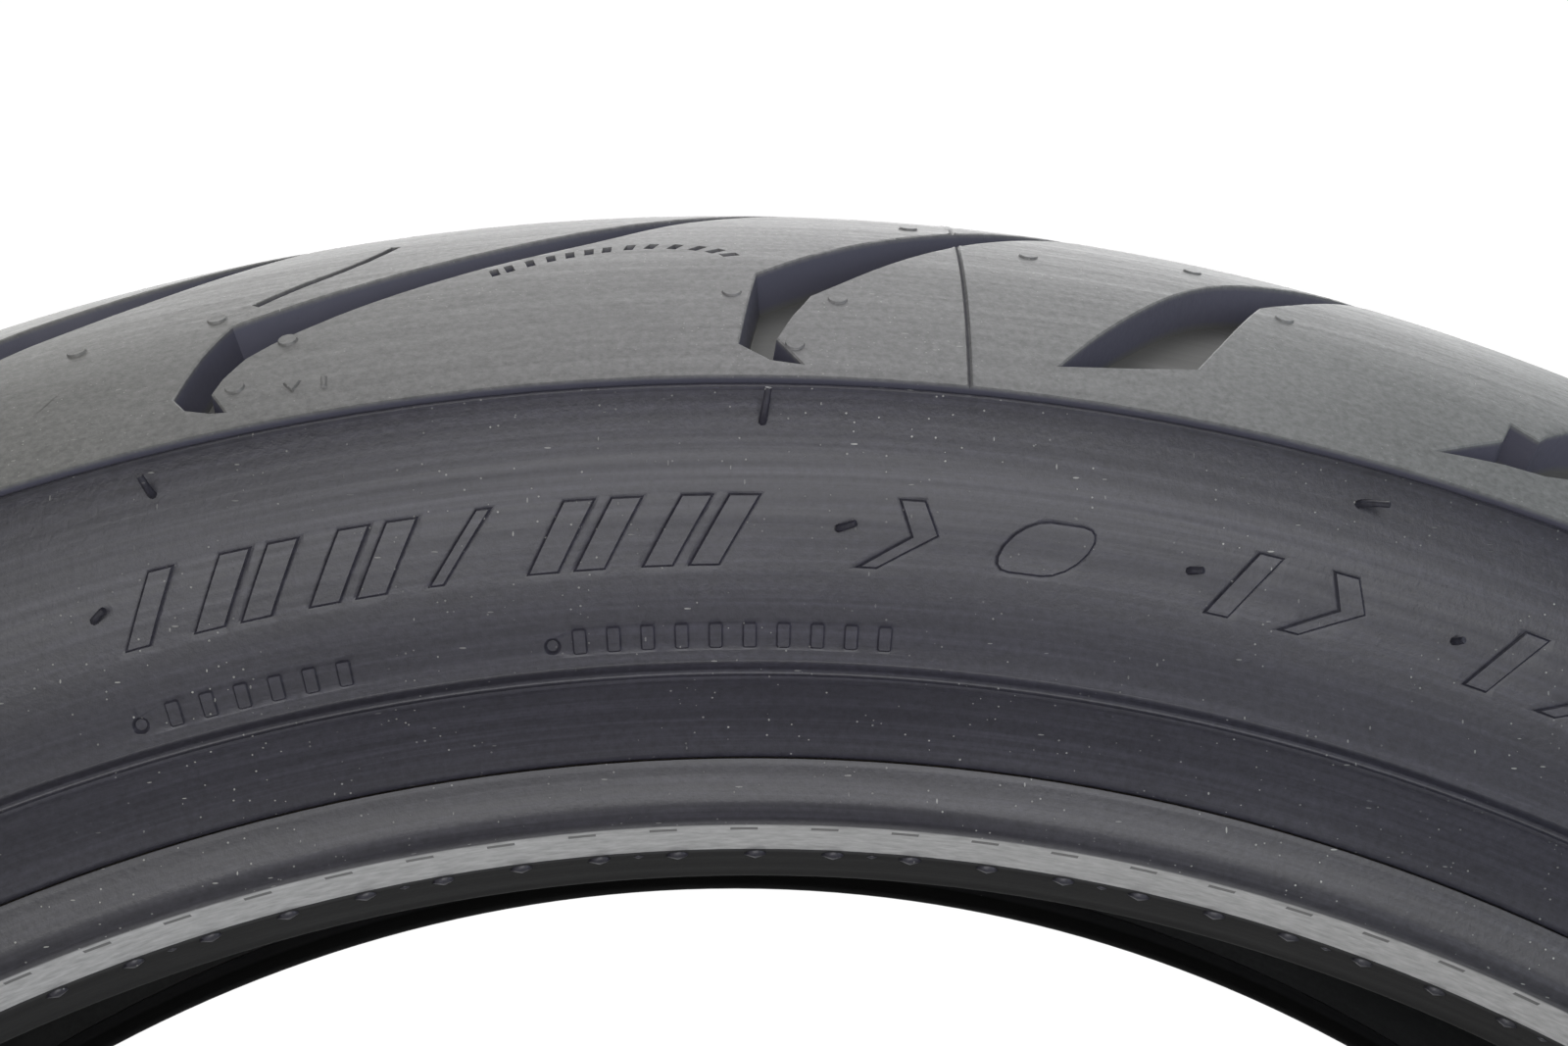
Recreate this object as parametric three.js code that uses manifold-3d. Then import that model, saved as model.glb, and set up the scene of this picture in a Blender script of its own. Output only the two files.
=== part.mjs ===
// A tubeless radial motorcycle tyre, 160/60-17, off its wheel.
// Millimetres. The spin axis is Y, the middle of the tread is the plane y = 0, and +Z is up.
// Every layer of the tyre is a ring of its own: tread, belt, plies, liner, beads and sidewalls.

import * as THREE from "three";
import { mergeVertices } from "three/addons/utils/BufferGeometryUtils.js";
import Module from "manifold-3d";

// ---------------------------------------------------------------- driving dimensions
const RIM_DIAMETER = 431.8; // 17 inches
const SECTION_WIDTH = 161;
const OUTER_RADIUS = RIM_DIAMETER / 2 + 0.6 * 160; // rim radius plus 60% of the nominal width
const CROWN_ARC = 101.5; // radius of the tread's arc across the tyre
const TREAD_EDGE_ANGLE = THREE.MathUtils.radToDeg(Math.asin(SECTION_WIDTH / 2 / CROWN_ARC)); // from the crown
const CENTRE_STRIP_ANGLE = 17.5; // half width of the harder middle strip of tread
const SEGMENTS = 24; // flats round each ring

const GAP = 0.3; // between neighbouring layers
const LINER = 1.0;
const PLY = 0.9;
const BELT = 1.0;
const BASE = 0.8; // base rubber between the belt and the tread
const TREAD = 7.0;

const UNITS = 8; // the tread pattern repeats this many times round the tyre
const GROOVE_DEPTH = 5.0;
const GROOVE_RADIUS = 291.8; // where one millimetre of a groove's outline is true round the tyre

// ---------------------------------------------------------------- layer depths from the inner face
const depth = {};
let reached = 0;
const layers = { liner: LINER, plyInner: PLY, plyOuter: PLY, belt: BELT, base: BASE, tread: TREAD };
for (const [name, thickness] of Object.entries(layers)) {
  depth[name] = { low: reached, high: reached + thickness };
  reached += thickness + GAP;
}
const WALL = depth.tread.high; // the whole wall at the crown
const CROWN_CENTRE = OUTER_RADIUS - CROWN_ARC; // radius at which the crown's arc is centred
const INNER_ARC = CROWN_ARC - WALL;

// ---------------------------------------------------------------- section helpers
// A section point is [radius, y]. All sections are drawn on the +Y side and mirrored.
const rad = THREE.MathUtils.degToRad;
const onArc = (arc, degrees) => [CROWN_CENTRE + arc * Math.cos(rad(degrees)), arc * Math.sin(rad(degrees))];
const crown = (arc, angles) => angles.map((a) => onArc(arc, a));
const mirror = (points) => points.map(([r, y]) => [r, -y]).reverse();
const bothSides = (half) => [...mirror(half), ...half.filter(([, y]) => y > 0.001)];

// Moves an open line sideways by a distance, with mitred corners. The line runs from the crown
// towards the bead on the +Y side, and a positive distance moves it outwards.
function offset(line, distance) {
  const normals = line.slice(1).map(([r, y], i) => {
    const [dr, dy] = [r - line[i][0], y - line[i][1]];
    const length = Math.hypot(dr, dy);
    return [dy / length, -dr / length];
  });
  return line.map(([r, y], i) => {
    const before = normals[Math.max(i - 1, 0)];
    const after = normals[Math.min(i, normals.length - 1)];
    const share = distance / (1 + before[0] * after[0] + before[1] * after[1]);
    return [r + (before[0] + after[0]) * share, y + (before[1] + after[1]) * share];
  });
}
const band = (line, low, high) => [...offset(line, low), ...offset(line, high).reverse()];

// A closed ring made by turning a section once round the Y axis.
function ring(section) {
  const area = section.reduce((sum, [r, y], i) => {
    const [r2, y2] = section[(i + 1) % section.length];
    return sum + r * y2 - r2 * y;
  }, 0);
  const points = (area > 0 ? section : [...section].reverse()).map(([r, y]) => new THREE.Vector2(r, y));
  return new THREE.LatheGeometry([...points, points[0].clone()], SEGMENTS);
}

// ---------------------------------------------------------------- the tyre's inner face
const BELT_EDGE_ANGLE = 36;
const innerFace = [
  ...crown(INNER_ARC, [0, CENTRE_STRIP_ANGLE, BELT_EDGE_ANGLE, TREAD_EDGE_ANGLE]),
  [250, 72.2],
  [238, 66.4],
  [228, 58.8],
  [220.5, 55.6],
];
const toBeltEdge = innerFace.slice(0, 3);
const toTreadEdge = innerFace.slice(0, 4);
const toMidSidewall = innerFace.slice(0, 5);
const toBead = innerFace.slice(0, 7);
const between = ([r, y], [r2, y2], share) => [r + (r2 - r) * share, y + (y2 - y) * share];
const pastBelt = [0.03, 0.9].map((share) => between(toTreadEdge[2], toTreadEdge[3], share));

// ---------------------------------------------------------------- the rest of the section
const BEAD_FACE = 66.5; // y of the flat ring that bears on the rim's flange
const plyTurnUp = [
  [221.15, 58.6],
  [221.15, 61.2],
  [222.6, 64.15],
  [226, 64.15],
  [231, 66.2],
  [240, 72.0],
];
const plyInnerLine = [...offset(toBead, (depth.plyInner.low + depth.plyInner.high) / 2), ...plyTurnUp];
const sections = {
  tread_cap_centre: bothSides(crown(CROWN_ARC, [0, CENTRE_STRIP_ANGLE])).concat(
    bothSides(crown(CROWN_ARC - TREAD, [0, CENTRE_STRIP_ANGLE])).reverse(),
  ),
  tread_base: band(bothSides(toTreadEdge), depth.base.low, depth.base.high),
  belt_spiral: band(bothSides(toBeltEdge), depth.belt.low, depth.belt.high),
  carcass_ply_outer: band(bothSides(toMidSidewall), depth.plyOuter.low, depth.plyOuter.high),
  carcass_ply_inner: band(bothSides(plyInnerLine), -PLY / 2, PLY / 2),
  inner_liner: band(bothSides(toBead), depth.liner.low, depth.liner.high),
};
const SHOULDER_START = CENTRE_STRIP_ANGLE + THREE.MathUtils.radToDeg(GAP / CROWN_ARC);
const shoulderAngles = [SHOULDER_START, BELT_EDGE_ANGLE, TREAD_EDGE_ANGLE];
const outerPlyFace = offset(innerFace, depth.belt.low);
const sideSections = {
  tread_cap_shoulder: [
    ...crown(CROWN_ARC, shoulderAngles),
    ...crown(CROWN_ARC - TREAD, shoulderAngles).reverse(),
  ],
  belt_edge_cushion: band(pastBelt, depth.belt.low, depth.belt.high),
  sidewall: [
    [271.6, SECTION_WIDTH / 2],
    [262, SECTION_WIDTH / 2],
    [255, 79.4],
    [246.5, 77.3],
    [246.5, 75.2],
    outerPlyFace[4],
    between(outerPlyFace[3], outerPlyFace[4], 0.05),
  ],
  rim_strip: [
    [246.2, 77.2],
    [238, 74.5],
    [229, 67.2],
    [228.6, 66.6],
    [228.6, 66.2],
    [231, 67.1],
    [240, 72.8],
    [246.2, 74.9],
  ],
  chafer: [
    [228.2, BEAD_FACE],
    [223, BEAD_FACE],
    [221.3, 65.0],
    [219.7, 61.5],
    [218.8, 55.9],
    [220.1, 56.9],
    [220.4, 58.6],
    [220.4, 61.3],
    [222.15, 64.9],
    [226, 64.9],
    [228.2, 65.7],
  ],
  bead_core: [
    [222.0, 59.9],
    [225.2, 60.7],
    [225.7, 62.0],
    [225.2, 63.3],
    [223.4, 63.3],
    [222.1, 61.0],
  ],
  bead_filler: [
    [226.1, 61.0],
    [226.1, 63.3],
    [231.0, 65.2],
    [236.0, 68.6],
    [233.0, 65.9],
  ],
  bead_toe: [
    [218.4, 55.2],
    [217.0, 53.0],
    [217.6, 52.6],
    [220.5, 55.6],
    [219.9, 56.1],
  ],
};

// ---------------------------------------------------------------- tread grooves
// Outlines on the flattened shoulder: [round the tyre, across the tread from its middle].
const grooves = [
  [[66, 90], [63, 78], [21, 58], [-22, 17], [10, 41], [66, 70], [73, 85]],
  [[-3, 91], [-5, 79], [-57, 17], [-22, 48], [1, 69], [3, 87]],
  [[-55, 83], [-61, 70], [-96, 16], [-66, 47], [-37, 87]],
  [[-85, 88], [-99, 85], [-133, 58], [-181, 15], [-132, 48], [-96, 75]],
];
const CUT_ABOVE = 5; // how far a cutter stands out of the tread
const OUTLINE_STEP = 34; // longest side of an outline once it is bent round the tyre

function withShortSides(outline) {
  return outline.flatMap(([u, v], i) => {
    const [u2, v2] = outline[(i + 1) % outline.length];
    const steps = Math.ceil(Math.hypot(u2 - u, v2 - v) / OUTLINE_STEP);
    return Array.from({ length: steps }, (_, k) => [u + ((u2 - u) * k) / steps, v + ((v2 - v) * k) / steps]);
  });
}

const wasm = await Module();
wasm.setup();

function solid(geometry) {
  const bare = new THREE.BufferGeometry().setAttribute("position", geometry.getAttribute("position"));
  if (geometry.index) bare.setIndex(geometry.index);
  const merged = mergeVertices(bare, 1e-3);
  return new wasm.Manifold(
    new wasm.Mesh({
      numProp: 3,
      vertProperties: merged.attributes.position.array,
      triVerts: new Uint32Array(merged.index.array),
    }),
  );
}

function geometryOf(manifold) {
  const mesh = manifold.getMesh();
  const geometry = new THREE.BufferGeometry();
  geometry.setAttribute("position", new THREE.BufferAttribute(mesh.vertProperties, 3));
  geometry.setIndex(new THREE.BufferAttribute(mesh.triVerts, 1));
  return geometry.toNonIndexed();
}

// One groove as a solid bent round the crown. side is +1 or -1, and turn is in degrees.
// The grooves of the two sides mirror each other, so that together they point one way round.
function grooveCutter(outline, side, turn) {
  const shape = new THREE.Shape(withShortSides(outline).map(([u, v]) => new THREE.Vector2(-side * u, v)));
  const block = new THREE.ExtrudeGeometry(shape, { depth: GROOVE_DEPTH + CUT_ABOVE, bevelEnabled: false });
  const position = block.getAttribute("position");
  for (let i = 0; i < position.count; i++) {
    const round = side * (position.getX(i) / GROOVE_RADIUS) + rad(turn);
    const across = position.getY(i) / CROWN_ARC;
    const arc = CROWN_ARC - GROOVE_DEPTH + position.getZ(i);
    const radius = CROWN_CENTRE + arc * Math.cos(across);
    position.setXYZ(i, radius * Math.sin(round), side * arc * Math.sin(across), radius * Math.cos(round));
  }
  return solid(block);
}

function cutGrooves(geometry, side) {
  let tread = solid(geometry);
  for (let unit = 0; unit < UNITS; unit++) {
    const turn = ((unit + (side > 0 ? 0.5 : 0)) * 360) / UNITS;
    for (const outline of grooves) tread = tread.subtract(grooveCutter(outline, side, turn));
  }
  return tread;
}

// ---------------------------------------------------------------- finishes
const finish = {
  tread_rubber: { color: 0x8a8a88, roughness: 0.85, metalness: 0 },
  sidewall_rubber: { color: 0x4a4a50, roughness: 0.7, metalness: 0 },
  bead_rubber: { color: 0x55555a, roughness: 0.6, metalness: 0 },
  base_rubber: { color: 0x2e2e30, roughness: 0.8, metalness: 0 },
  ply_cord: { color: 0x6b5a44, roughness: 0.9, metalness: 0 },
  belt_steel: { color: 0x9a9486, roughness: 0.4, metalness: 1 },
  bead_wire: { color: 0xa8874a, roughness: 0.35, metalness: 1 },
  liner_rubber: { color: 0x2a2a2c, roughness: 0.5, metalness: 0 },
};
const finishOf = {
  tread_cap_centre: "tread_rubber",
  tread_cap_shoulder: "tread_rubber",
  tread_base: "base_rubber",
  belt_spiral: "belt_steel",
  belt_edge_cushion: "base_rubber",
  carcass_ply_outer: "ply_cord",
  carcass_ply_inner: "ply_cord",
  inner_liner: "liner_rubber",
  sidewall: "sidewall_rubber",
  rim_strip: "bead_rubber",
  chafer: "bead_rubber",
  bead_core: "bead_wire",
  bead_filler: "base_rubber",
  bead_toe: "bead_rubber",
};

// ---------------------------------------------------------------- the assembly
const tyre = new THREE.Group();
tyre.name = "motorcycle_tyre";

function place(name, kind, geometry) {
  const mesh = new THREE.Mesh(geometry, new THREE.MeshStandardMaterial(finish[finishOf[kind]]));
  mesh.name = name;
  tyre.add(mesh);
}

for (const [kind, section] of Object.entries(sections)) {
  if (kind === "tread_cap_centre") {
    const both = cutGrooves(ring(section), 1);
    place(kind, kind, geometryOf(cutGrooves(geometryOf(both), -1)));
  } else place(kind, kind, ring(section));
}
for (const [kind, section] of Object.entries(sideSections)) {
  for (const [word, side] of [["left", 1], ["right", -1]]) {
    const plain = ring(section);
    if (side < 0) plain.rotateX(Math.PI); // a ring turned end for end is its own mirror image
    const grooved = kind === "tread_cap_shoulder";
    place(`${kind}_${word}`, kind, grooved ? geometryOf(cutGrooves(plain, side)) : plain);
  }
}

export default tyre;
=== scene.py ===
# A bare tubeless motorcycle tyre: grooved tread, marked sidewalls, wire beads and the layers inside.
import math
import random

import bmesh
import bpy
from mathutils import Matrix, Vector


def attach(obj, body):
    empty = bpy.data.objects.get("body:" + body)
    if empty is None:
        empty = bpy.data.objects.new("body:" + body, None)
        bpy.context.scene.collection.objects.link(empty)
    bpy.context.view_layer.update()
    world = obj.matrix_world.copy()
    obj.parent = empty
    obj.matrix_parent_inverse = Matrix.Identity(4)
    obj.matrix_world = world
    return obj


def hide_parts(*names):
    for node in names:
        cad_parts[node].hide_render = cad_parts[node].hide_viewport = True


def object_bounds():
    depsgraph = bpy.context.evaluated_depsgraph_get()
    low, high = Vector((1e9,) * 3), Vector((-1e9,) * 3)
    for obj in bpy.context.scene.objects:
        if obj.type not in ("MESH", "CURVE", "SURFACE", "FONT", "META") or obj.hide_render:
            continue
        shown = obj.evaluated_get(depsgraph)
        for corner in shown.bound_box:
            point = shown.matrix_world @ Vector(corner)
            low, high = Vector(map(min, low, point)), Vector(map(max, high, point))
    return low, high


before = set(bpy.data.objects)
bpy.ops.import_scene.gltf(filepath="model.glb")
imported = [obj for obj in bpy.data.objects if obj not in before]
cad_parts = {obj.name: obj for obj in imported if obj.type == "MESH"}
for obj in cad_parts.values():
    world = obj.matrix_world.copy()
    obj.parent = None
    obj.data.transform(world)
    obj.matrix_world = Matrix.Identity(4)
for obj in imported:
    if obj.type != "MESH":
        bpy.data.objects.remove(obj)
cad_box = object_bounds()

# ------------------------------------------------------------------ sizes, in millimetres
MM = 0.001
OUTER_RADIUS = cad_box[1][2] / MM
HALF_WIDTH = cad_box[1][1] / MM
CROWN_ARC = 101.5  # radius of the tread's arc across the tyre
CROWN_CENTRE = OUTER_RADIUS - CROWN_ARC
EDGE_ANGLE = math.asin(HALF_WIDTH / CROWN_ARC)
TREAD_EDGE = EDGE_ANGLE * CROWN_ARC  # from the middle of the tread to its edge, along the arc
CENTRE_STRIP = math.radians(17.5) * CROWN_ARC
TREAD_DEPTH = 7.0
UNITS = 8  # the tread pattern repeats this often round the tyre
PATTERN_RADIUS = 291.8  # where a millimetre of the flattened tread is true round the tyre
UNIT_LENGTH = 2 * math.pi * PATTERN_RADIUS / UNITS

random.seed(7)


# ------------------------------------------------------------------ lines and sections
def curve_through(points, step):
    """A smooth line through points, with a point about every step."""
    ends = [points[0], *points, points[-1]]
    line = []
    for before, start, end, after in zip(ends, ends[1:], ends[2:], ends[3:]):
        p0, p1, p2, p3 = (Vector(p) for p in (before, start, end, after))
        count = max(1, round((p2 - p1).length / step))
        for k in range(count):
            t = k / count
            line.append(
                0.5 * (2 * p1 + (p2 - p0) * t + (2 * p0 - 5 * p1 + 4 * p2 - p3) * t * t
                       + (3 * p1 - p0 - 3 * p2 + p3) * t ** 3)
            )
    line.append(Vector(points[-1]))
    return line


def outline(*runs, step=4.0):
    """A closed outline of smooth runs that meet at sharp corners."""
    return [point for run in runs for point in curve_through(run, step)[:-1]]


def arc_section(arc, angles):
    return [(CROWN_CENTRE + arc * math.cos(a), arc * math.sin(a)) for a in angles]


def offset(line, distance):
    """The line moved outwards by a distance. It runs from the crown to the bead on the left side."""
    normals = []
    for (r, y), (r2, y2) in zip(line, line[1:]):
        length = math.hypot(r2 - r, y2 - y)
        normals.append(Vector(((y2 - y) / length, (r - r2) / length)))
    moved = []
    for i, point in enumerate(line):
        before = normals[max(i - 1, 0)]
        after = normals[min(i, len(normals) - 1)]
        moved.append(Vector(point) + (before + after) * (distance / (1 + before.dot(after))))
    return [tuple(p) for p in moved]


def both_sides(half):
    return [(r, -y) for r, y in reversed(half)] + [p for p in half if p[1] > 0.001]


def band(line, low, high):
    return offset(line, low) + offset(line, high)[::-1]


# ------------------------------------------------------------------ turning a bmesh into a piece
def add_piece(name, bm, material, slot, replaces=(), sharp=40, even=False):
    """Makes the object in metres, smooth but for its sharp edges, and lets it ride on the tyre."""
    bmesh.ops.remove_doubles(bm, verts=bm.verts, dist=0.004)
    bmesh.ops.recalc_face_normals(bm, faces=bm.faces)
    bmesh.ops.scale(bm, vec=(MM, MM, MM), verts=bm.verts)
    mesh = bpy.data.meshes.new(name)
    bm.to_mesh(mesh)
    bm.free()
    mesh.shade_smooth()
    mesh.set_sharp_from_angle(angle=math.radians(sharp))
    mesh.materials.append(material)
    piece = bpy.data.objects.new(name, mesh)
    if even:
        piece.modifiers.new("even_shading", "WEIGHTED_NORMAL").keep_sharp = True
    bpy.context.scene.collection.objects.link(piece)
    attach(piece, "root")
    if replaces:
        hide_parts(*replaces)
    return piece


def turned_ring(section, steps, side=1):
    """A ring made by spinning a closed section, given as (radius, y), once round the tyre's axis."""
    bm = bmesh.new()
    verts = [bm.verts.new((0, side * y, r)) for r, y in section]
    edges = [bm.edges.new((a, b)) for a, b in zip(verts, verts[1:] + verts[:1])]
    bmesh.ops.spin(bm, geom=verts + edges, axis=(0, 1, 0), cent=(0, 0, 0), angle=2 * math.pi,
                   steps=steps, use_merge=True)
    return bm


# ------------------------------------------------------------------ flat sheets that are bent into shape
def loop_edges(bm, points, height=0.0):
    verts = [bm.verts.new((p[0], p[1], height)) for p in points]
    return verts, [bm.edges.new((a, b)) for a, b in zip(verts, verts[1:] + verts[:1])]


def fill(bm, edges, normal=(0, 0, 1)):
    made = bmesh.ops.triangle_fill(bm, use_beauty=True, edges=edges, normal=normal)
    return [f for f in made["geom"] if isinstance(f, bmesh.types.BMFace)]


def sink(bm, outline_points, depth, draft, lip=0.22):
    """A pit with a rounded lip and sloping walls."""
    verts, _ = loop_edges(bm, outline_points)
    floor = bm.faces.new(verts)
    floor.normal_update()
    if floor.normal.z < 0:
        floor.normal_flip()
    bmesh.ops.inset_individual(bm, faces=[floor], thickness=lip, depth=-lip * 0.7, use_even_offset=True)
    bmesh.ops.inset_individual(bm, faces=[floor], thickness=draft, depth=-depth, use_even_offset=True)


def slab(right_edge, length, thickness, mouths):
    """A flat sheet between right_edge and the same line one length further back, open at both ends."""
    bm = bmesh.new()
    mouths(bm)
    mouth_edges = [e for e in bm.edges if e.is_boundary]
    left_edge = [(u - length, v) for u, v in right_edge]
    corners = right_edge + left_edge[::-1]
    top, top_edges = loop_edges(bm, corners)
    bottom, bottom_edges = loop_edges(bm, corners, -thickness)
    fill(bm, top_edges + mouth_edges)
    fill(bm, bottom_edges, (0, 0, -1))
    last = len(right_edge) - 1
    for a, b in ((last, last + 1), (len(corners) - 1, 0)):
        bm.faces.new((top[a], top[b], bottom[b], bottom[a]))
    return bm


def cut_across(bm, axis, places):
    """Cuts every face of a sheet along lines of constant u (axis 0) or v (axis 1)."""
    normal = Vector((1 - axis, axis, 0))
    for place in places:
        bmesh.ops.bisect_plane(bm, geom=bm.verts[:] + bm.edges[:] + bm.faces[:], dist=1e-5,
                               plane_co=normal * place, plane_no=normal)


def keep_between(bm, low, high):
    """Keeps the part of a sheet between two values of v, and closes the cuts."""
    for place, outwards in ((low, -1), (high, 1)):
        if place is None:
            continue
        bmesh.ops.bisect_plane(bm, geom=bm.verts[:] + bm.edges[:] + bm.faces[:], dist=1e-5,
                               plane_co=(0, place, 0), plane_no=(0, outwards, 0), clear_outer=True)
        rim = [e for e in bm.edges if e.is_boundary and all(abs(v.co.y - place) < 1e-4 for v in e.verts)]
        found = {v for e in rim for v in e.verts}
        for pick in (min, max):
            corner = pick(found, key=lambda v: v.co.x).co.x
            pair = sorted((v for v in found if abs(v.co.x - corner) < 1e-4), key=lambda v: v.co.z)
            rim.append(bm.edges.new((pair[0], pair[-1])))
        fill(bm, rim, (0, outwards, 0))


def bend(bm, place_of):
    for vert in bm.verts:
        vert.co = place_of(*vert.co)


def repeat_round(bm, count):
    """Copies a sector round the axis and joins the copies."""
    sector = bm.verts[:] + bm.edges[:] + bm.faces[:]
    for k in range(1, count):
        copy = bmesh.ops.duplicate(bm, geom=sector)["geom"]
        turned = [v for v in copy if isinstance(v, bmesh.types.BMVert)]
        bmesh.ops.rotate(bm, verts=turned, cent=(0, 0, 0),
                         matrix=Matrix.Rotation(2 * math.pi * k / count, 3, "Y"))
    bmesh.ops.remove_doubles(bm, verts=bm.verts, dist=0.01)


# ------------------------------------------------------------------ materials
def nodes_of(name, colour, roughness):
    material = bpy.data.materials.new(name)
    material.use_nodes = True
    tree = material.node_tree
    shader = tree.nodes["Principled BSDF"]
    shader.inputs["Base Color"].default_value = (*colour, 1)
    shader.inputs["Roughness"].default_value = roughness
    return material, tree, shader


def link(tree, source, target):
    tree.links.new(source, target)


def object_place(tree, scale=(1, 1, 1)):
    """The piece's own coordinates in millimetres, stretched by scale."""
    place = tree.nodes.new("ShaderNodeTexCoord")
    mapping = tree.nodes.new("ShaderNodeMapping")
    mapping.inputs["Scale"].default_value = [s / MM for s in scale]
    link(tree, place.outputs["Object"], mapping.inputs["Vector"])
    return mapping.outputs["Vector"]


def around_the_axis(tree):
    """(radius, y, angle) in millimetres and turns, so that a pattern can run round the tyre."""
    place = tree.nodes.new("ShaderNodeTexCoord")
    parts = tree.nodes.new("ShaderNodeSeparateXYZ")
    link(tree, place.outputs["Object"], parts.inputs[0])
    flat = tree.nodes.new("ShaderNodeCombineXYZ")
    link(tree, parts.outputs["X"], flat.inputs["X"])
    link(tree, parts.outputs["Z"], flat.inputs["Y"])
    length = tree.nodes.new("ShaderNodeVectorMath")
    length.operation = "LENGTH"
    link(tree, flat.outputs[0], length.inputs[0])
    angle = maths(tree, "ARCTAN2", parts.outputs["Z"], parts.outputs["X"])
    out = tree.nodes.new("ShaderNodeCombineXYZ")
    link(tree, maths(tree, "MULTIPLY", length.outputs["Value"], 1 / MM), out.inputs["X"])
    link(tree, maths(tree, "MULTIPLY", parts.outputs["Y"], 1 / MM), out.inputs["Y"])
    link(tree, angle, out.inputs["Z"])
    return out.outputs[0]


def maths(tree, operation, a, b=None):
    node = tree.nodes.new("ShaderNodeMath")
    node.operation = operation
    for socket, value in zip(node.inputs, (a, b)):
        if value is None:
            continue
        if isinstance(value, (int, float)):
            socket.default_value = value
        else:
            link(tree, value, socket)
    return node.outputs[0]


def scaled(tree, vector, scale):
    mapping = tree.nodes.new("ShaderNodeMapping")
    mapping.inputs["Scale"].default_value = scale
    link(tree, vector, mapping.inputs["Vector"])
    return mapping.outputs["Vector"]


def noise(tree, vector, scale, detail=4.0, roughness=0.6):
    node = tree.nodes.new("ShaderNodeTexNoise")
    node.inputs["Scale"].default_value = scale
    node.inputs["Detail"].default_value = detail
    node.inputs["Roughness"].default_value = roughness
    link(tree, vector, node.inputs["Vector"])
    return node.outputs["Fac"]


def ramp(tree, value, stops):
    node = tree.nodes.new("ShaderNodeValToRGB")
    link(tree, value, node.inputs["Fac"])
    elements = node.color_ramp.elements
    while len(elements) < len(stops):
        elements.new(0.5)
    for element, (position, colour) in zip(elements, stops):
        element.position = position
        element.color = (*colour, 1) if len(colour) == 3 else colour
    return node.outputs["Color"]


def grey(value):
    return (value, value, value)


def mix(tree, share, first, second, blend="MIX"):
    node = tree.nodes.new("ShaderNodeMix")
    node.data_type = "RGBA"
    node.blend_type = blend
    sockets = (node.inputs["Factor"], node.inputs["A"], node.inputs["B"])
    for socket, value in zip(sockets, (share, first, second)):
        if hasattr(value, "is_linked"):
            link(tree, value, socket)
        elif isinstance(value, (int, float)):
            socket.default_value = value
        else:
            socket.default_value = (*value, 1)
    return node.outputs["Result"]


def specks(tree, vector, size, share, seed):
    """A mask that is 1 on small grains scattered over the surface. share is how many cells hold one."""
    cells = tree.nodes.new("ShaderNodeTexVoronoi")
    cells.inputs["Scale"].default_value = 1 / size
    cells.inputs["Randomness"].default_value = 1.0
    shifted = tree.nodes.new("ShaderNodeVectorMath")
    shifted.operation = "ADD"
    shifted.inputs[1].default_value = (seed, seed * 1.7, seed * 0.6)
    link(tree, vector, shifted.inputs[0])
    link(tree, shifted.outputs[0], cells.inputs["Vector"])
    chosen = tree.nodes.new("ShaderNodeSeparateColor")
    link(tree, cells.outputs["Color"], chosen.inputs[0])
    near = maths(tree, "LESS_THAN", cells.outputs["Distance"], 0.13)
    kept = maths(tree, "LESS_THAN", chosen.outputs[0], share)
    return maths(tree, "MULTIPLY", near, kept)


def bump(tree, shader, height, distance, strength=1.0):
    node = tree.nodes.new("ShaderNodeBump")
    node.inputs["Distance"].default_value = distance * MM
    node.inputs["Strength"].default_value = strength
    link(tree, height, node.inputs["Height"])
    link(tree, node.outputs[0], shader.inputs["Normal"])


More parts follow.
